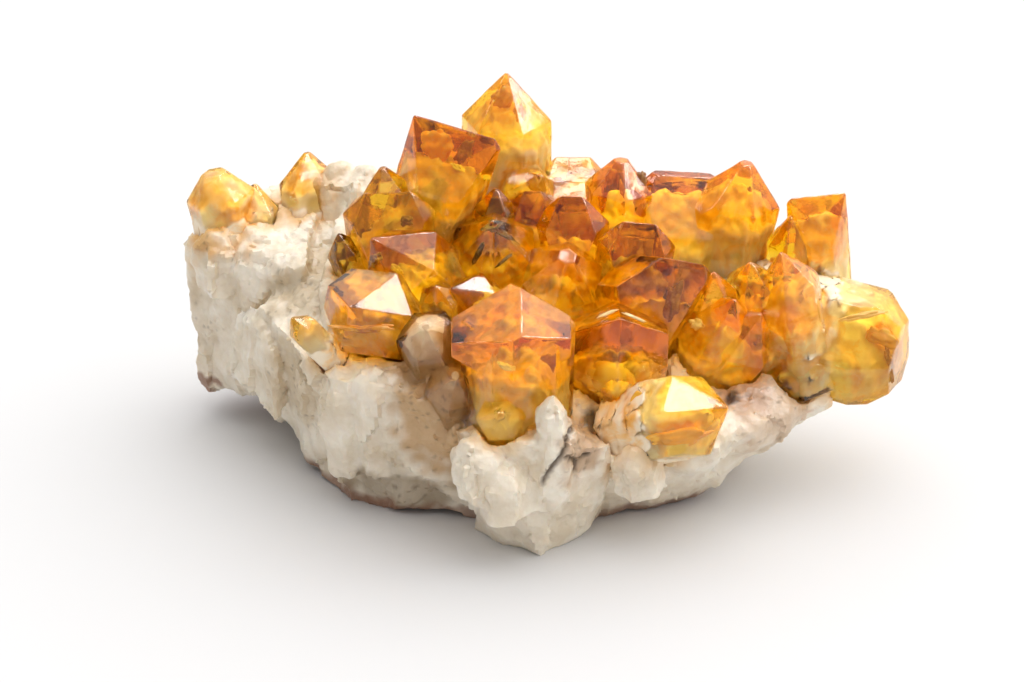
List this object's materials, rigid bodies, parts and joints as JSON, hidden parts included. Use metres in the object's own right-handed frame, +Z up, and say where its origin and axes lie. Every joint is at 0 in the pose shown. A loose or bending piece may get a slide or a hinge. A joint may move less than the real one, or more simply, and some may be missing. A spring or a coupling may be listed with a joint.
{
  "type": "citrine crystal cluster on white quartz matrix",
  "caption": "Cluster of clear amber quartz points, grown together and fanning up and outward from a wedge of rough white quartz that rests on its flat underside.",
  "frame": {"origin": "middle of the cluster's bounding box, on the plane that its flat underside rests on", "axes": "+Z up, +X to the right along the cluster's length, -Y towards the side the points face"},
  "size_m": [0.0914, 0.0533, 0.048],
  "materials": {
    "citrine": "clear amber quartz with bright flat faces, milky towards the roots",
    "white_quartz": "rough, milky, sugary quartz with cracks, grey and olive stains and a red-brown rind underneath"
  },
  "bodies": {
    "root": {"citrine_druse": "citrine", "citrine_points_left": "citrine", "citrine_point_back_left": "citrine", "citrine_point_front_low": "citrine", "quartz_matrix": "white_quartz"}
  },
  "joints": []
}
